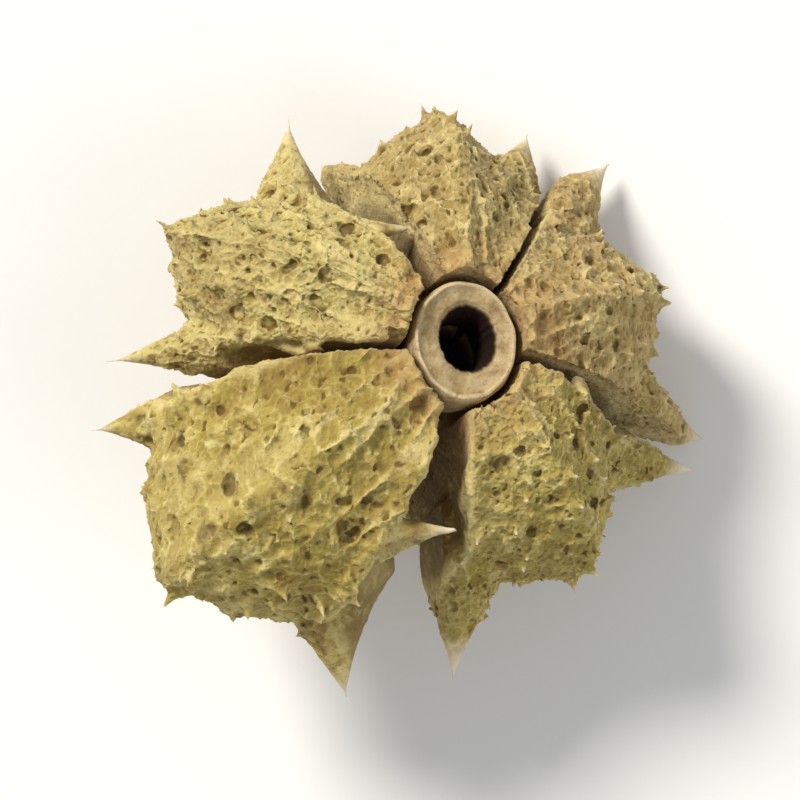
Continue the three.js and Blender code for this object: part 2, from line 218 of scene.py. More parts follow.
def pits_of(numbers):
    """Pits thrown as darts that keep apart: close on the back and wide on the flanks."""
    draws = np.array([next(numbers) for _ in range(2 * NET_DARTS)]).reshape(-1, 2)
    height = 2 * draws[:, 0] - 1
    turn = 2 * math.pi * draws[:, 1]
    ring = np.sqrt(1 - height * height)
    points = skin_at(np.stack([ring * np.cos(turn), ring * np.sin(turn), height], axis=1))
    apart = NET_ON_FLANK + (NET_ON_BACK - NET_ON_FLANK) * roughness(points)
    pits = points[:1]
    for point, distance in zip(points[1:], apart[1:]):
        if np.all(np.linalg.norm(pits - point, axis=1) > distance):
            pits = np.vstack([pits, point])
    return pits


def ripple(points, size, seed):
    """Smooth random heights, mostly between -1 and 1, in lumps about half a size across."""
    draw = np.random.default_rng(seed)
    ways = draw.normal(size=(3, RIPPLE_WAVES))
    ways *= 2 * math.pi / size * draw.uniform(*RIPPLE_SPREAD, RIPPLE_WAVES) / np.linalg.norm(ways, axis=0)
    return np.sin(points @ ways + draw.uniform(0, 2 * math.pi, RIPPLE_WAVES)).mean(axis=1) * RIPPLE_GAIN


def cells(points, pits):
    """How deep each point lies in its pit, 0 on a ridge to 1 in the middle, how near it is to a
    meeting of ridges, and which pit it is."""
    bent = points + NET_WARP * np.stack([ripple(points, NET_WARP_SIZE, s) for s in (1, 2, 3)], axis=1)
    inside, meeting, which = [], [], []
    for part in np.array_split(bent, max(1, len(bent) // POINTS_AT_ONCE)):
        apart = np.linalg.norm(part[:, None] - pits[None], axis=2)
        first, second, third = np.partition(apart, (0, 1, 2), axis=1)[:, :3].T
        inside.append((second - first) / (second + first))
        meeting.append(1 - (third - first) / (third + first))
        which.append(apart.argmin(axis=1))
    return tuple(np.concatenate(part) for part in (inside, meeting, which))


def pit_depth(inside, which):
    """Pits differ: some are wide and deep, some are only a prick, and some have grown shut."""
    ripe = np.random.default_rng(seed=4).uniform(0, 1, which.max() + 1)[which]
    edge = PIT_EDGE + PIT_EDGE_VARY * ripe
    return smooth_step(edge, edge + PIT_WALL, inside) * smooth_step(PIT_SHUT, PIT_OPEN, ripe)


def creases(points, size, seed):
    """Fine ridges that wander as in crumpled paper: 1 along their tops and 0 between them."""
    return smooth_step(CREASE_WIDTH, 0.0, np.abs(ripple(points, size, seed)))


def fan(points):
    """Ridges that run out from the stalk over the back and fade on the way."""
    near = smooth_step(FAN_THIN, FAN_FULL, points[:, 0])
    fade = smooth_step(-0.6, 0.5, ripple(points, FAN_PATCH, 32) + 1.6 * near - 0.4)
    return creases(points * FAN_STRETCH, FAN_SIZE, 31) * fade


def pricks(points, seed):
    """Scattered pinholes, 1 in their middles."""
    return smooth_step(0.6, 1.0, ripple(points, PRICK_SIZE, seed))


def net_lift(points, pits):
    """The height of the net over the smooth skin: ridges that fan out from the stalk, creases,
    knobs where ridges meet, and pits."""
    inside, meeting, which = cells(points, pits)
    knob = smooth_step(0.84, 1.0, meeting) * smooth_step(-0.5, 0.7, ripple(points, KNOB_PATCH, 7))
    varied = NET_RIDGE_SHARE + NET_RIDGE_VARY * ripple(points, NET_RIDGE_PATCH, 8)
    ridge = NET_RIDGE * smooth_step(0.3, 0.0, inside) * varied
    crease = CREASE_HEIGHTS[0] * creases(points, CREASE_SIZES[0], 12)
    pit = pit_depth(inside, which)
    return ridge + FAN_HEIGHT * fan(points) + (1 - pit) * crease + KNOB_HEIGHT * knob - NET_PIT * pit


def direction_of(around, across):
    """Directions from the heart: around is the angle up from level, across the angle sideways."""
    return np.stack([np.cos(across) * np.cos(around), np.sin(across),
                     np.cos(across) * np.sin(around)], axis=1)


def edge_across(around):
    """The angle across at which the back meets its flank."""
    def on_back(across):
        back, flank, _ = wedge_bounds(skin_at(direction_of(around, across)))
        return back > flank
    return search(np.zeros(len(around)), np.full(len(around), math.pi / 2), on_back)


def outward_at(points):
    """The skin's outward direction, from how fast it leaves the wedge along each axis."""
    reach = ROUNDING / 5 * np.eye(3)
    slopes = np.stack([outside(points + r) - outside(points - r) for r in reach], axis=1)
    return slopes / np.linalg.norm(slopes, axis=1)[:, None]


def tube(line, radii, sides, lobes=0.0):
    """A closed tube along a line of points, with a point at its end. Lobes are shallow ribs along
    its thick part."""
    ahead = np.gradient(line, axis=0)
    ahead /= np.linalg.norm(ahead, axis=1)[:, None]
    across = np.cross(np.eye(3)[np.argmin(np.abs(ahead[0]))], ahead)
    across /= np.linalg.norm(across, axis=1)[:, None]
    up = np.cross(ahead, across)
    turn = np.arange(sides) * 2 * math.pi / sides
    ribbed = 1 + lobes * (np.cos(5 * turn) + 0.6 * np.cos(9 * turn + 1))
    reach = radii[:-1, None, None] * ribbed[:, None]
    rings = line[:-1, None] + reach * (
        across[:-1, None] * np.cos(turn)[:, None] + up[:-1, None] * np.sin(turn)[:, None])
    points = np.vstack([rings.reshape(-1, 3), line[:1], line[-1:]])
    root, tip = len(points) - 2, len(points) - 1
    faces = []
    for k in range(sides):
        after = (k + 1) % sides
        faces.append((root, after, k))
        for i in range(len(line) - 2):
            low, high = i * sides, (i + 1) * sides
            faces.append((low + k, low + after, high + after, high + k))
        last = (len(line) - 2) * sides
        faces.append((last + k, last + after, tip))
    return points, faces


def spine(root, by, tip, growth, taper, most, steps, sides, lobes=0.0):
    """A spine along a bent line: its points, faces and core, which is the line and its radii. The
    radius grows from the tip as a power of the distance."""
    along = np.linspace(0, 1, steps)[:, None]
    line = (1 - along) ** 2 * root + 2 * along * (1 - along) * by + along ** 2 * tip
    radii = growth * np.linalg.norm(line - tip, axis=1) ** taper
    return *tube(line, np.clip(radii, POINT_RADIUS, most), sides, lobes), (line, radii)


def long_spine(wedge, side, tip):
    """A long spine's points, faces and core, and the foot and tip of its horn. Side 1 is left."""
    _, _, deep, wide, *_ = wedge
    turn, reach, height, stout = math.radians(tip[0]), *tip[1:]
    end = np.array([reach * math.cos(turn) / deep, reach * math.sin(turn) / wide, height])
    around = np.array([LONG_AROUND])
    shoulder = skin_at(direction_of(around, side * edge_across(around)))[0]
    root = np.array([shoulder[0] - LONG_SUNK, shoulder[1] - side * LONG_SUNK, LONG_LEVEL])
    by = shoulder + (end - shoulder) * LONG_BEND + (0, 0, LONG_RISE)
    points, faces, core = spine(root, by, end, stout * LONG_GROWTH, LONG_TAPER, LONG_MOST,
                                steps=44, sides=40, lobes=0.035)
    foot = end + (by - end) * min(1, LONG_HORN / np.linalg.norm(by - end))
    return points, faces, core, (foot, end)


def short_spines(numbers):
    """The two short spines beside the stalk, left and then right, and the webs that join them."""
    made, webs = [], []
    for side in (1, -1):
        around = np.array([math.radians(STALK_AROUND + STALK_STRAY * next(numbers))])
        shoulder = skin_at(direction_of(around, side * edge_across(around)))
        outward = outward_at(shoulder)[0]
        shoulder = shoulder[0]
        length = STALK_SHORTEST + STALK_VARY * next(numbers)
        tip = shoulder + outward * length + (STALK_LEAN[0], side * STALK_LEAN[1], 0)
        form = spine(shoulder - outward * STALK_SUNK, shoulder, tip,
                     STALK_GROWTH, STALK_TAPER, STALK_MOST, steps=20, sides=16)
        made.append((*form, (shoulder, tip)))

        # The web that carries the rim on from the short spine down the edge of the back.
        around = np.array([WEB_FOOT])
        root = skin_at(direction_of(around, side * edge_across(around)))
        root = root[0] - outward_at(root)[0] * WEB_MOST
        webs.append(spine(root, (root + shoulder) / 2, shoulder + (tip - shoulder) * WEB_REACH,
                          WEB_GROWTH, WEB_TAPER, WEB_MOST, steps=24, sides=14))
    return made, webs


def buried(point, core):
    """Whether a point lies inside a spine, given by the line and the radii of its core."""
    line, radii = core
    apart = np.linalg.norm(line - point, axis=1)
    return np.any(apart < np.clip(radii, 0, LONG_MOST))


def prickles(numbers, longs):
    """The prickles in their rows: broad-footed, sharp and a little bent. The long spines have
    swallowed some of them."""
    across, level, stray, tall = [], [], [], []
    for offset, count, height in ROWS:
        for i in range(count):
            draws = [2 * next(numbers) - 1 for _ in range(7)]
            level.append(ROW_FROM + (ROW_TO - ROW_FROM) * (i + 0.5) / count + STRAY_AROUND * draws[0])
            across.append(offset + STRAY_ACROSS * draws[1])
            stray.append(draws[2:])
            tall.append(height)
    level, stray = np.array(level), np.array(stray)
    around = np.radians(level)
    directions = direction_of(around, edge_across(around) * np.array(across))
    points = skin_at(directions)
    points += directions * ribs(points)[:, None]
    outward = outward_at(points) + STRAY_TILT * stray[:, :3]
    outward /= np.linalg.norm(outward, axis=1)[:, None]
    grown = PRICKLE_SHORTEST + (1 - PRICKLE_SHORTEST) * smooth_step(ROW_TO, ROW_FULL, level)
    heights = np.array(tall) * grown * (1 + STRAY_HEIGHT * stray[:, 3])
    radii = PRICKLE_RADIUS * (1 + STRAY_RADIUS * stray[:, 4])
    made = []
    share = np.linspace(-PRICKLE_SUNK, 1, PRICKLE_STEPS)
    for foot, ahead, height, radius, lean in zip(points, outward, heights, radii, stray):
        bend = np.cross(ahead, lean[:3]) * PRICKLE_BEND * height
        line = foot + ahead * height * share[:, None] + bend * np.maximum(share, 0)[:, None] ** 2
        if any(buried(line[-1], core) for _, _, core, _ in longs):
            continue
        flare = PRICKLE_FOOT * np.exp(-np.maximum(share, 0) / PRICKLE_FLARE)
        thick = radius * (flare + PRICKLE_SHAFT * (1 - share))
        made.append((*tube(line, thick, PRICKLE_SIDES), (foot, line[-1])))
    return made


def turned(points, degrees):
    c, s = math.cos(math.radians(degrees)), math.sin(math.radians(degrees))
    return points @ np.array([[c, s, 0], [-s, c, 0], [0, 0, 1]])


def kept_between_seams(points, index):
    """Holds a wedge between its seams. Points are in the wedge's own frame."""
    turn, seam = WEDGES[index][:2]
    before = WEDGES[index - 1][1]
    for side, half in ((-1, math.radians((turn - before) % 360)), (1, math.radians(seam - turn))):
        away = np.array([math.sin(half), -side * math.cos(half), 0])
        points = points + np.maximum(ROOM - points @ away, 0)[:, None] * away
    return points


def out_of_seat(points):
    """How far out points lie: 1 at the wall of the room for the receptacle. They are in the fruit's
    frame, as they are in the next two."""
    return np.hypot(points[:, 0] / (COLLAR_SHORT + SEAT_GAP), points[:, 1] / (COLLAR_LONG + SEAT_GAP))


def seated(points):
    """Holds the wedges off the receptacle."""
    out = out_of_seat(points)
    least = smooth_step(SEAT_LOW - SEAT_SLOPE, SEAT_LOW + SEAT_SLOPE, points[:, 2])
    grow = np.maximum(out, least) / np.maximum(out, 1e-6)
    return points * np.stack([grow, grow, np.ones(len(points))], axis=1)


def lip_of(points):
    """1 along the lips that the wedges raise beside the receptacle."""
    near = np.exp(-(((out_of_seat(points) - LIP_PLACE) / LIP_WIDTH) ** 2))
    return near * smooth_step(SEAT_LOW, SEAT_LOW + LIP_RISE, points[:, 2])


def lying_pose():
    """The turn and the shift that lay the standing fruit down on its three low points."""
    first, second = WEDGES[0], WEDGES[1]
    low = [turned(np.array([[BEAK_TIP[0] * first[2], 0, BEAK_TIP[2]]]), first[0])[0]]
    for wedge, tip in ((first, first[5]), (second, second[6])):
        azimuth = math.radians(wedge[0] + tip[0])
        low.append(np.array([tip[1] * math.cos(azimuth), tip[1] * math.sin(azimuth), tip[2]]))
    down = np.cross(low[1] - low[0], low[2] - low[0])
    down *= -np.sign(down[2]) / np.linalg.norm(down)
    turn = Vector(down).rotation_difference(Vector((0, 0, -1))).to_matrix()
    around = np.linspace(0, 2 * math.pi, PLAIN_SIDES + 1)[:-1]
    rim = np.vstack([np.stack([
        COLLAR_SHORT * out * np.cos(around), COLLAR_LONG * out * np.sin(around),
        np.full(PLAIN_SIDES, COLLAR_LOW + (COLLAR_HIGH - COLLAR_LOW) * up)], axis=1)
        for out, up in PLAIN_EDGES])
    laid = rim @ np.array(turn).T
    box_low, box_high = np.array(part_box("receptacle")) * 1000
    middle = (box_low + box_high - laid.min(axis=0) - laid.max(axis=0)) / 2
    return np.array(turn), np.array([middle[0], middle[1], down @ low[0] - FLAT_DEPTH])


LYING_TURN, LYING_SHIFT = lying_pose()


def laid(points):
    """From the standing fruit's millimetres to the frame's metres."""
    return (points @ LYING_TURN.T + LYING_SHIFT) / 1000


def places_of(mesh):
    places = np.empty(len(mesh.vertices) * 3)
    mesh.vertices.foreach_get("co", places)
    return places.reshape(-1, 3)


def normals_of(mesh):
    normals = np.empty(len(mesh.vertices) * 3)
    mesh.vertex_normals.foreach_get("vector", normals)
    return normals.reshape(-1, 3)


def faces_of(mesh):
    return [tuple(face.vertices) for face in mesh.polygons]


def fused(forms, voxel, softening):
    """One closed skin round all the closed forms, given as points and faces."""
    points, faces, count = [], [], 0
    for form_points, form_faces, *_ in forms:
        points.append(form_points)
        faces += [tuple(corner + count for corner in face) for face in form_faces]
        count += len(form_points)
    rough = bpy.data.meshes.new("rough_wedge")
    rough.from_pydata(np.vstack(points).tolist(), [], faces)
    holder = bpy.data.objects.new("rough_wedge", rough)
    bpy.context.scene.collection.objects.link(holder)
    remesh = holder.modifiers.new("skin", "REMESH")
    remesh.mode = "VOXEL"
    remesh.voxel_size = voxel
    remesh.adaptivity = 0
    smooth = holder.modifiers.new("soften", "SMOOTH")
    smooth.factor = 0.5
    smooth.iterations = softening
    evaluated = holder.evaluated_get(bpy.context.evaluated_depsgraph_get())
    mesh = bpy.data.meshes.new_from_object(evaluated)
    bpy.data.objects.remove(holder)
    bpy.data.meshes.remove(rough)
    return mesh


def largest_body(mesh):
    """Drops crumbs that the fusing may leave beside the wedge."""
    bm = bmesh.new()
    bm.from_mesh(mesh)
    left = set(bm.verts)
    bodies = []
    while left:
        body = {left.pop()}
        edge = list(body)
        while edge:
            edge = [e.other_vert(v) for v in edge for e in v.link_edges]
            edge = [v for v in set(edge) if v not in body]
            body.update(edge)
        left -= body
        bodies.append(body)
    bodies.sort(key=len)
    for crumb in bodies[:-1]:
        bmesh.ops.delete(bm, geom=list(crumb), context="VERTS")
    bm.to_mesh(mesh)
    bm.free()


def along_spines(points, spines):
    """How far along its nearest spine or prickle a point lies, 0 at the foot to 1 at the tip."""
    most = np.zeros(len(points))
    for foot, tip, width in spines:
        axis = tip - foot
        share = (points - foot) @ axis / (axis @ axis)
        off = np.linalg.norm(points - foot - share[:, None] * axis, axis=1)
        near = off < width * np.clip(MARK_TAPER - share, MARK_LEAST, MARK_MOST)
        most = np.maximum(most, np.where(near, np.clip(share, 0, 1), 0))
    return most


def pits_on(spines):
    """More pits, on the thick parts of the long spines that stand clear of the wedge."""
    draw = np.random.default_rng(seed=3)
    pits = np.empty((0, 3))
    for points, _, _, (foot, tip) in spines:
        from_tip = np.linalg.norm(points - tip, axis=1)
        clear = points[(outside(points) > SPINE_PIT_CLEAR) & (from_tip > SPINE_PIT_END)]
        for point in draw.permutation(clear):
            if np.all(np.linalg.norm(pits - point, axis=1) > SPINE_PIT_APART):
                pits = np.vstack([pits, point])
    return pits


def wedge_mesh(index):
    wedge = WEDGES[index]
    turn, _, deep, wide, seed, right, left = wedge
    size = np.array([deep, wide, 1.0])
    voxel = FINENESS * (deep * wide) ** (1 / 3)
    numbers = numbers_from(seed)
    pits = pits_of(numbers)
    longs = [long_spine(wedge, 1, left), long_spine(wedge, -1, right)]
    spikes = prickles(numbers, longs)
    shorts, webs = short_spines(numbers)
    pits = np.vstack([pits, pits_on(longs)])
    feet = [(foot, tip, PRICKLE_MARK) for *_, (foot, tip) in spikes]
    feet += [(foot, tip, SHORT_MARK) for *_, (foot, tip) in shorts]
    feet += [(foot, tip, LONG_MARK) for *_, (foot, tip) in longs]

    # The bare wedge with its long spines and beak, then the net raised on it.
    ball = bmesh.new()
    bmesh.ops.create_icosphere(ball, subdivisions=SKIN_DIVISIONS, radius=1)
    directions = np.array([corner.co for corner in ball.verts], dtype=float)
    directions /= np.linalg.norm(directions, axis=1)[:, None]
    ball_faces = [tuple(corner.index for corner in face.verts) for face in ball.faces]
    ball.free()
    skin = skin_at(directions)
    skin += directions * ribs(skin)[:, None]
    root, tip = np.array(BEAK_ROOT), np.array(BEAK_TIP)
    beak = spine(root, (root + tip) / 2, tip, BEAK_GROWTH, BEAK_TAPER, BEAK_MOST, steps=12, sides=16)
    bare = fused([(points * size, faces) for points, faces, *_ in [(skin, ball_faces), beak, *longs]],
                 voxel, BARE_SOFTENING)
    places = places_of(bare)
    own = places / size
    calm = 1 - smooth_step(*LONG_CALM, along_spines(own, feet[-2:]))
    rough = ROUGH_LEAST + (1 - ROUGH_LEAST) * roughness(own)
    places = places + normals_of(bare) * (net_lift(own, pits) * rough * calm)[:, None]

    # The prickles and short spines set in it, and all of it held between the seams.
    forms = [(places, faces_of(bare))]
    forms += [(points * size, faces) for points, faces, *_ in spikes + shorts + webs]
    bpy.data.meshes.remove(bare)
    mesh = fused([(seated(turned(kept_between_seams(points, index), turn)), faces)
                  for points, faces in forms], voxel, SET_SOFTENING)
    largest_body(mesh)
    standing = places_of(mesh)
    own = turned(standing, -turn) / size
    tips = along_spines(own, feet)
    calm = 1 - TIP_CALM_SHARE * smooth_step(*TIP_CALM, tips)
    inside, _, which = cells(own, pits)
    pitted = pit_depth(inside, which)
    pricked = pricks(own, seed)
    fine_crease = creases(own, CREASE_SIZES[1], seed + 1)
    grit = GRIT_HEIGHT * ripple(own, GRIT_SIZE, seed + 2)
    fine = CREASE_HEIGHTS[1] * fine_crease - PRICK_DEPTH * pricked + grit
    rough = FINE_LEAST + (1 - FINE_LEAST) * roughness(own)
    outward = normals_of(mesh)
    lip = lip_of(standing) * np.maximum(outward[:, 2], 0)
    standing = standing + outward * ((fine - NET_LEVEL) * calm * rough)[:, None]
    standing[:, 2] += LIP_HEIGHT * lip * (1 + LIP_VARY * ripple(own, LIP_PATCH, 15))
    relief = net_lift(own, pits) + FINE_SHADE * fine
    lying = laid(standing)
    lying[:, 2] = np.maximum(lying[:, 2], 0)
    mesh.vertices.foreach_set("co", lying.ravel())

    out = np.hypot(standing[:, 0], standing[:, 1])
    marks = {
        # The pit mark paints shade into the pits and pinholes.
        "pit": np.maximum(pitted, PRICK_SHADE * pricked) * calm,
        # The relief mark drives painted shade in the hollows and a pale that is partly painted highlight
        # on the ridges.
        "relief": smooth_step(*RELIEF_RANGE, relief),
        "rim": np.maximum(rim_of(own, webs), LIP_SHADE * lip),
        # Painted shade: the wedges' inner parts near the axis, up by the receptacle, are marked to be
        # coloured near-black as the shade down in the hole.
        "painted_hole_shade": smooth_step(*HOLE_SHADE_ACROSS, out) * smooth_step(*HOLE_SHADE_UP, standing[:, 2]),
        "tip": tips,
        "back": roughness(own),
        "stalk": smooth_step(*TAN_ACROSS, out),
    }
    for name, values in marks.items():
        mesh.attributes.new(name, "FLOAT", "POINT").data.foreach_set("value", values)
    mesh.shade_smooth()
    mesh.update()
    return mesh


def group_of(name, inputs, outputs):
    """A shader node group with named inputs and outputs."""
    group = bpy.data.node_groups.new(name, "ShaderNodeTree")
    for label, kind, value in inputs:
        socket = group.interface.new_socket(label, in_out="INPUT", socket_type=kind)
        socket.default_value = value
    for label, kind in outputs:
        group.interface.new_socket(label, in_out="OUTPUT", socket_type=kind)
    return group


def linear(red, green, blue):
    """An sRGB colour out of 255 as Blender's linear colour."""
    shares = (red / 255, green / 255, blue / 255)
    return (*(s / 12.92 if s <= 0.04045 else ((s + 0.055) / 1.055) ** 2.4 for s in shares), 1.0)


def mark(nodes, name):
    node = nodes.new("ShaderNodeAttribute")
    node.attribute_type = "GEOMETRY"
    node.attribute_name = name
    return node.outputs["Fac"]


def mixed(tree, share, low, high, blend="MIX"):
    """A colour between two, by a share that is a number or a socket."""
    node = tree.nodes.new("ShaderNodeMix")
    node.data_type = "RGBA"
    node.blend_type = blend
    for socket, value in ((node.inputs["Factor"], share), (node.inputs[6], low), (node.inputs[7], high)):
        if isinstance(value, bpy.types.NodeSocket):
            tree.links.new(value, socket)
        else:
            socket.default_value = value
    return node.outputs[2]


def ramped(tree, value, low, high):
    """A number from 0 to 1 as another runs from low to high."""
    node = tree.nodes.new("ShaderNodeMapRange")
    node.interpolation_type = "SMOOTHSTEP"
    tree.links.new(value, node.inputs["Value"])
    node.inputs["From Min"].default_value = low
    node.inputs["From Max"].default_value = high
    return node.outputs["Result"]


def sums(tree, operation, a, b):
    node = tree.nodes.new("ShaderNodeMath")
    node.operation = operation
    for socket, value in zip(node.inputs, (a, b)):
        if isinstance(value, bpy.types.NodeSocket):
            tree.links.new(value, socket)
        else:
            socket.default_value = value
    return node.outputs[0]


def noise(tree, coordinates, per_metre, detail=4.0):
    node = tree.nodes.new("ShaderNodeTexNoise")
    tree.links.new(coordinates, node.inputs["Vector"])
    node.inputs["Scale"].default_value = per_metre
    node.inputs["Detail"].default_value = detail
    node.inputs["Roughness"].default_value = 0.6
    return node.outputs["Fac"]


PATCHES_PER_METRE, SPECKS_PER_METRE, GRAIN_PER_METRE = 420, 3600, 15000
FLECK_SHARE, SPOT_SHARE, DIRT_SHARE = 0.4, 0.5, 0.35
LEAST_ROUGHNESS, ROUGHNESS_VARY = 0.68, 0.25


def weathering_group():
    """Dust and bleaching that any dry surface of the fruit carries: mottled colour, a grain height
    and a roughness, from the place on the fruit alone."""
    group = group_of("dry_weathering", [
        ("Colour", "NodeSocketColor", (0.5, 0.4, 0.2, 1)),
        ("Bleached", "NodeSocketColor", (0.7, 0.6, 0.4, 1)),
        ("Stained", "NodeSocketColor", (0.2, 0.12, 0.05, 1)),
        ("Mottle", "NodeSocketFloat", 0.5),
    ], [("Colour", "NodeSocketColor"), ("Roughness", "NodeSocketFloat"), ("Grain", "NodeSocketFloat")])
    nodes, links = group.nodes, group.links
    given = nodes.new("NodeGroupInput")
    result = nodes.new("NodeGroupOutput")
    place = nodes.new("ShaderNodeTexCoord").outputs["Object"]
    patches = noise(group, place, PATCHES_PER_METRE)
    specks = noise(group, place, SPECKS_PER_METRE)
    grain = noise(group, place, GRAIN_PER_METRE, detail=3.0)
    bleach = sums(group, "MULTIPLY", ramped(group, patches, 0.5, 0.72), given.outputs["Mottle"])
    stain = sums(group, "MULTIPLY", ramped(group, patches, 0.5, 0.3), given.outputs["Mottle"])
    colour = mixed(group, bleach, given.outputs["Colour"], given.outputs["Bleached"])
    colour = mixed(group, stain, colour, given.outputs["Stained"])
    fleck = sums(group, "MULTIPLY", ramped(group, specks, 0.54, 0.66), FLECK_SHARE)
    colour = mixed(group, fleck, colour, given.outputs["Bleached"])
    spot = sums(group, "MULTIPLY", ramped(group, specks, 0.42, 0.3), SPOT_SHARE)
    colour = mixed(group, spot, colour, given.outputs["Stained"])
    dirt = sums(group, "MULTIPLY", ramped(group, grain, 0.46, 0.34), DIRT_SHARE)
    colour = mixed(group, dirt, colour, given.outputs["Stained"])
    links.new(colour, result.inputs["Colour"])
    dry = sums(group, "ADD", sums(group, "MULTIPLY", specks, ROUGHNESS_VARY), LEAST_ROUGHNESS)
    links.new(dry, result.inputs["Roughness"])
    links.new(sums(group, "ADD", specks, grain), result.inputs["Grain"])
    return group


DRY_WEATHERING = weathering_group()

# Skin colours: ridges, whose pale is partly their own straw and partly painted highlight; hollows and the
# bottoms of pits, darkened as painted shade; flanks, darkened partly as painted shade; horny spine tips,
# stains, the tan by the stalk and the painted shade inside the hole.
RIDGE = linear(208, 190, 126)
HOLLOW_SHADE = linear(140, 118, 58)
PIT_SHADE = linear(88, 66, 24)
# Partly painted shade: the flanks' own duller brown, darkened to stand in for the shade between
# neighbouring wedges.
SHADED_FLANK = linear(136, 114, 64)
TIP = linear(234, 216, 188)
STAIN = linear(124, 88, 44)
STALK_TAN = linear(178, 138, 86)
# Painted shade: the near-black that stands in for the shade down in the hole.
HOLE_SHADE_COLOUR = linear(30, 16, 7)

# How strongly a husk is mottled, its pits darkened with painted shade, its skin tanned and its tips
# paled, how far the pale fades in, and how close its veins run.
HUSK_MOTTLE, PIT_SHADE_SHARE, TAN_SHARE, HORN_SHARE, HORN_FADE = 0.4, 0.85, 0.65, 0.9, 0.5
VEINS_PER_METRE = 3800

# What each wedge's back has dried to, and how far along its spines the pale horn begins.
HUSKS = (
    (linear(184, 158, 104), 0.35),
    (linear(170, 148, 94), 0.45),
    (linear(194, 178, 112), 0.5),
    (linear(168, 149, 72), 0.5),
    (linear(172, 154, 78), 0.3),
)


def weathered(tree, colour, bleached, mottle):
    """The weathering of a colour: what it bleaches to and how mottled it is are a material's own."""
    node = tree.nodes.new("ShaderNodeGroup")
    node.node_tree = DRY_WEATHERING
    node.inputs["Bleached"].default_value = bleached
    node.inputs["Stained"].default_value = STAIN
    node.inputs["Mottle"].default_value = mottle
    tree.links.new(colour, node.inputs["Colour"])
    return node.outputs


def grained(tree, shader, height, strength, distance):
    """Raises a fine grain on a shader's surface. The distance is in metres."""
    bump = tree.nodes.new("ShaderNodeBump")
    bump.inputs["Strength"].default_value = strength
    bump.inputs["Distance"].default_value = distance
    tree.links.new(height, bump.inputs["Height"])
    tree.links.new(bump.outputs["Normal"], shader.inputs["Normal"])


def wedge_material(name, husk, horn_from):
    """Dry husk: straw ridges, paled partly as painted highlight, over olive hollows and pits darkened as
    painted shade; duller flanks darkened partly as painted shade; the inside of the hole painted dark as
    shade; pale horny spine tips.
    """
    material = bpy.data.materials.new(name)
    material.use_nodes = True
    tree = material.node_tree
    shader = tree.nodes["Principled BSDF"]
    pit, relief, rim, tip, back, stalk, painted_hole_shade = (
        mark(tree.nodes, label) for label in ("pit", "relief", "rim", "tip", "back", "stalk", "painted_hole_shade"))
    place = tree.nodes.new("ShaderNodeTexCoord").outputs["Object"]
    veins = noise(tree, place, VEINS_PER_METRE, detail=5.0)
    # Painted shade and highlight: the hollows of the relief are darkened to olive, and the ridges are
    # paled partly as painted highlight.
    shaded = mixed(tree, ramped(tree, relief, 0.05, 0.4), HOLLOW_SHADE, husk)
    pale_ridge_and_highlight = sums(tree, "MULTIPLY", ramped(tree, relief, 0.35, 0.85), ramped(tree, veins, 0.3, 0.55))
    ridged = mixed(tree, pale_ridge_and_highlight, shaded, RIDGE)
    # Painted shade: pits and pinholes darkened.
    netted = mixed(tree, sums(tree, "MULTIPLY", ramped(tree, pit, 0.15, 0.8), PIT_SHADE_SHARE), ridged, PIT_SHADE)
    # Partly painted shade: the flanks take a darker brown that stands in for the shade between
    # neighbouring wedges, over their own duller colour.
    whole = mixed(tree, ramped(tree, back, 0.05, 0.5), SHADED_FLANK, netted)
    whole = mixed(tree, sums(tree, "MULTIPLY", rim, ramped(tree, veins, 0.3, 0.5)), whole, RIDGE)
    tanned = sums(tree, "MULTIPLY", stalk, ramped(tree, veins, 0.3, 0.55))
    whole = mixed(tree, sums(tree, "MULTIPLY", tanned, TAN_SHARE), whole, STALK_TAN)
    dry = weathered(tree, whole, RIDGE, HUSK_MOTTLE)
    # Painted shade: the wedge's inner parts down in the hole are coloured near-black.
    holed = mixed(tree, painted_hole_shade, dry["Colour"], HOLE_SHADE_COLOUR)
    horny = sums(tree, "MULTIPLY", ramped(tree, tip, horn_from, horn_from + HORN_FADE), HORN_SHARE)
    tree.links.new(mixed(tree, horny, holed, TIP), shader.inputs["Base Color"])
    tree.links.new(dry["Roughness"], shader.inputs["Roughness"])
    grained(tree, shader, sums(tree, "ADD", dry["Grain"], veins), strength=0.75, distance=0.00004)
    shader.inputs["Specular IOR Level"].default_value = 0.2
    shader.inputs["Sheen Weight"].default_value = 0.1
    return material


for index, (husk, horn_from) in enumerate(HUSKS):
    node = f"mericarp_{index + 1}"
    wedge = bpy.data.objects.new(f"husk_wedge_{index + 1}", wedge_mesh(index))
    bpy.context.scene.collection.objects.link(wedge)
    wedge.data.materials.append(wedge_material(f"dry_husk_{index + 1}", husk, horn_from))
    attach(wedge, "root")
    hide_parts(node)


# The receptacle: the little oval collar that carried the stalk. The stalk has broken out of it and left a
# hole, a pale torn rim and fibrous walls, which are painted near-black as the shade down in the hole.

COLLAR_OUTLINE = (
    (0.9, 0.0), (0.96, 0.25), (0.99, 0.5), (1.0, 0.78), (0.99, 0.92), (0.96, 0.99), (0.92, 1.0),
    (0.87, 0.96), (0.8, 0.93), (0.72, 0.92), (0.64, 0.91), (0.57, 0.87), (0.52, 0.78), (0.5, 0.62),
    (0.49, 0.4), (0.49, 0.0),
)
COLLAR_SIDES, COLLAR_FINER = 144, 4
COLLAR_LUMP, COLLAR_FIBRE, COLLAR_TEAR = 0.012, 0.02, 0.02
COLLAR_MOTTLE, FIBRES_PER_METRE = 0.3, 3200
COLLAR_HOLE_SHIFT = np.array([0.09, 0.07])
COLLAR_RIM = linear(206, 184, 142)
COLLAR_SKIN = linear(150, 128, 86)
# Painted shade: the near-black that stands in for the shade in the collar's hole.
COLLAR_HOLE_SHADE = linear(34, 18, 8)


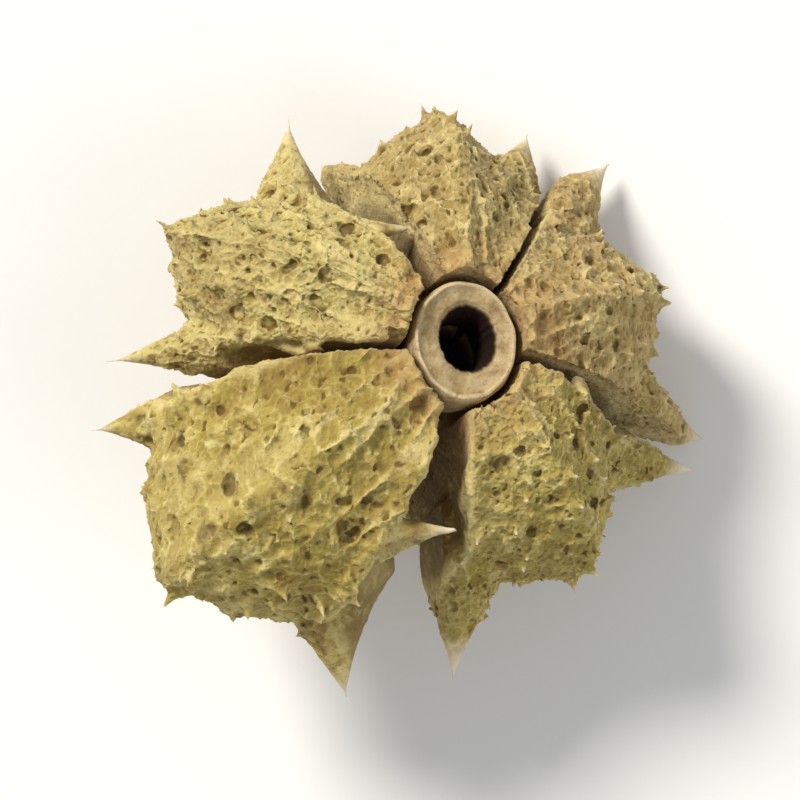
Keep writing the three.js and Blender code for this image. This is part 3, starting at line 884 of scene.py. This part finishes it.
def collar_mesh():
    outline = np.array(COLLAR_OUTLINE)
    fine = np.linspace(0, 1, COLLAR_FINER * len(outline))
    spots = np.linspace(0, 1, len(outline))
    out, up = (np.interp(fine, spots, outline[:, k]) for k in (0, 1))
    around = np.arange(COLLAR_SIDES) * 2 * math.pi / COLLAR_SIDES
    points = np.stack([
        COLLAR_SHORT * np.outer(out, np.cos(around)), COLLAR_LONG * np.outer(out, np.sin(around)),
        np.repeat((COLLAR_LOW + (COLLAR_HIGH - COLLAR_LOW) * up)[:, None], COLLAR_SIDES, axis=1),
    ], axis=2).reshape(-1, 3)
    inner = np.repeat(smooth_step(0.86, 0.54, out), COLLAR_SIDES)
    points[:, :2] += inner[:, None] * COLLAR_HOLE_SHIFT
    fibres = np.tile(ripple(np.stack([np.cos(around), np.sin(around), 0 * around], axis=1), 0.3, 5),
                     len(out))
    outward = points * (1, 1, 0)
    outward /= np.linalg.norm(outward, axis=1)[:, None]
    lumps = ripple(points, 0.5, 9)
    worn = COLLAR_LUMP + COLLAR_LUMP * lumps + COLLAR_FIBRE * inner * np.abs(fibres)
    points = points - outward * worn[:, None]
    points[:, 2] += COLLAR_TEAR * np.repeat(up, COLLAR_SIDES) * (ripple(points, 0.7, 12) - 1)
    faces = []
    rows = len(out)
    for i in range(rows):
        for k in range(COLLAR_SIDES):
            after = (k + 1) % COLLAR_SIDES
            low, high = i * COLLAR_SIDES, (i + 1) % rows * COLLAR_SIDES
            faces.append((low + k, high + k, high + after, low + after))
    mesh = bpy.data.meshes.new("stalk_ring")
    mesh.from_pydata(laid(points).tolist(), [], faces)
    # The first mark paints the shade down in the hole onto its inner walls; the edge mark is the pale
    # torn rim.
    for name, shares in (("collar_hole_shade", smooth_step(0.64, 0.51, out)),
                         ("edge", np.exp(-(((out - 0.94) / 0.05) ** 2)) * smooth_step(0.7, 0.9, up))):
        marked = mesh.attributes.new(name, "FLOAT", "POINT")
        marked.data.foreach_set("value", np.repeat(shares, COLLAR_SIDES))
    mesh.shade_smooth()
    mesh.update()
    return mesh


def collar_material():
    """Broken wood: pale torn rim, tan outside, and the hole darkened with painted shade."""
    material = bpy.data.materials.new("broken_collar")
    material.use_nodes = True
    tree = material.node_tree
    shader = tree.nodes["Principled BSDF"]
    collar_hole_shade = mark(tree.nodes, "collar_hole_shade")
    place = tree.nodes.new("ShaderNodeTexCoord").outputs["Object"]
    fibres = noise(tree, place, FIBRES_PER_METRE)
    light = sums(tree, "MULTIPLY", ramped(tree, fibres, 0.35, 0.65), 0.55)
    wood = mixed(tree, light, COLLAR_SKIN, COLLAR_RIM)
    wood = mixed(tree, mark(tree.nodes, "edge"), wood, COLLAR_RIM)
    dry = weathered(tree, wood, COLLAR_RIM, COLLAR_MOTTLE)
    # Painted shade: the hole's inner walls are coloured near-black.
    holed = mixed(tree, ramped(tree, collar_hole_shade, 0.2, 0.9), dry["Colour"], COLLAR_HOLE_SHADE)
    tree.links.new(holed, shader.inputs["Base Color"])
    tree.links.new(dry["Roughness"], shader.inputs["Roughness"])
    grained(tree, shader, sums(tree, "ADD", fibres, dry["Grain"]), strength=0.6, distance=0.00003)
    shader.inputs["Specular IOR Level"].default_value = 0.2
    return material


ring = bpy.data.objects.new("stalk_ring", collar_mesh())
bpy.context.scene.collection.objects.link(ring)
ring.data.materials.append(collar_material())
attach(ring, "root")
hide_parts("receptacle")


# The table: one plain pale sheet, matt, with nothing else on it. It only shows what the fruit lies on
# and is no part of it.

TABLE_SIDE = 0.6
TABLE_COLOUR = linear(236, 234, 229)

table_mesh = bpy.data.meshes.new("table")
half = TABLE_SIDE / 2
table_mesh.from_pydata([(-half, -half, 0), (half, -half, 0), (half, half, 0), (-half, half, 0)],
                       [], [(0, 1, 2, 3)])
table = bpy.data.objects.new("table", table_mesh)
bpy.context.scene.collection.objects.link(table)
table_paper = bpy.data.materials.new("pale_paper")
table_paper.use_nodes = True
paper = table_paper.node_tree.nodes["Principled BSDF"]
paper.inputs["Base Color"].default_value = TABLE_COLOUR
paper.inputs["Roughness"].default_value = 0.9
paper.inputs["Specular IOR Level"].default_value = 0.1
table.data.materials.append(table_paper)


# Light and camera: a soft main light from the upper left and a weak fill, and a camera straight
# above, as the fruit was photographed.

CAMERA_HEIGHT = 0.16
VIEW_WIDTH = 0.0152
FRUIT_MIDDLE_HEIGHT = 0.0035
SENSOR_WIDTH = 36
ROOM_COLOUR, ROOM_STRENGTH = (0.92, 0.95, 1.0, 1.0), 0.42


def soft_light(name, place, size, watts, colour):
    lamp = bpy.data.lights.new(name, "AREA")
    lamp.shape = "DISK"
    lamp.size = size
    lamp.energy = watts
    lamp.color = colour
    holder = bpy.data.objects.new(name, lamp)
    bpy.context.scene.collection.objects.link(holder)
    holder.location = place
    holder.rotation_euler = (-Vector(place)).to_track_quat("-Z", "Y").to_euler()


soft_light("main_light", place=(-0.16, 0.17, 0.22), size=0.1, watts=1.15, colour=(1.0, 0.97, 0.93))
soft_light("fill_light", place=(0.2, -0.12, 0.2), size=0.22, watts=0.25, colour=(0.95, 0.97, 1.0))
world = bpy.data.worlds.new("soft_room")
world.use_nodes = True
world.node_tree.nodes["Background"].inputs["Color"].default_value = ROOM_COLOUR
world.node_tree.nodes["Background"].inputs["Strength"].default_value = ROOM_STRENGTH
bpy.context.scene.world = world
bpy.context.scene.view_settings.view_transform = "Standard"

lens = bpy.data.cameras.new("camera")
lens.sensor_width = SENSOR_WIDTH
lens.lens = SENSOR_WIDTH * (CAMERA_HEIGHT - FRUIT_MIDDLE_HEIGHT) / VIEW_WIDTH
lens.clip_start = 0.005
camera = bpy.data.objects.new("camera", lens)
bpy.context.scene.collection.objects.link(camera)
camera.location = (0, 0, CAMERA_HEIGHT)
bpy.context.scene.camera = camera
